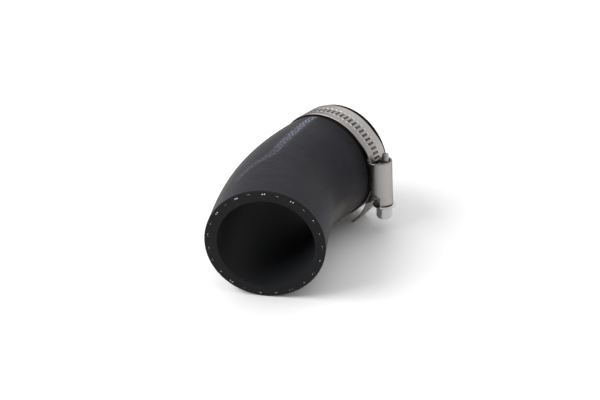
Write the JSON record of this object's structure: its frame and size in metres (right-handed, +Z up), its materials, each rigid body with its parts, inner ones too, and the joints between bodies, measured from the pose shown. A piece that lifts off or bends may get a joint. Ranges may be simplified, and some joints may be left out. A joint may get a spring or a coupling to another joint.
{
  "type": "turbo hose elbow",
  "caption": "Moulded rubber turbo hose elbow that joins air pipes at a slight angle, with a steel worm-drive clamp round its straight cuff.",
  "frame": {"origin": "on the surface the part lies on, below the middle of its outline seen from above", "axes": "+Y from the bare cut end towards the clamped end, +X towards the clamp's screw, +Z up from the surface it lies on"},
  "size_m": [0.0718, 0.0934, 0.0485],
  "materials": {
    "reinforced_rubber": "smooth dark grey-black vulcanised rubber with a faint wrap texture",
    "stainless_band": "satin stainless strip",
    "pressed_steel": "satin pressed stainless sheet",
    "zinc_plated_screw": "bright zinc-plated steel"
  },
  "bodies": {
    "hose_and_clamp": {"hose": "reinforced_rubber", "clamp_band": "stainless_band", "screw_housing": "pressed_steel"},
    "screw": {"worm_screw": "zinc_plated_screw"}
  },
  "joints": [
    {"name": "screw_turn", "type": "hinge", "parent": "hose_and_clamp", "child": "screw", "pos_m": [0.03, 0.01454, 0.02609], "axis": [-0.0615, 0.024, 0.9978], "continuous": true}
  ]
}
